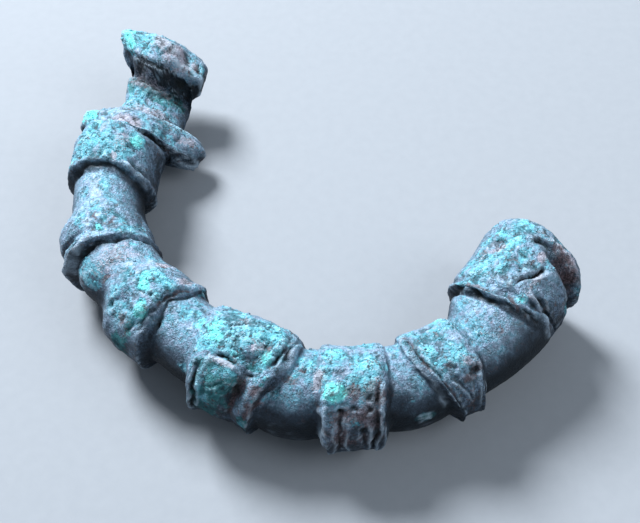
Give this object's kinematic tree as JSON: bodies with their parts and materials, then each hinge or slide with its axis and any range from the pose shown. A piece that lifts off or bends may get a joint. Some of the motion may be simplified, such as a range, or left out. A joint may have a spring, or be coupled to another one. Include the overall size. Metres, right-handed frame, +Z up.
{
  "type": "fibula brooch",
  "caption": "Corroded cast bronze bow of a fibula brooch: arched round bar with banded mouldings, a heavy end cap and a broken cross-armed foot; the pin is lost.",
  "frame": {"origin": "centre of the bounding box in plan, at the ground under the brooch as it lies on its side", "axes": "+Z up, across the plane of the bow; +X along the longest extent, from the foot's side towards the cap's side; +Y from the crown of the bow towards its open side"},
  "size_m": [0.0498, 0.0484, 0.01],
  "materials": {
    "patinated_bronze": "corroded: dark bronze under blue-green crust"
  },
  "bodies": {
    "root": {"fibula_bow": "patinated_bronze"}
  },
  "joints": []
}
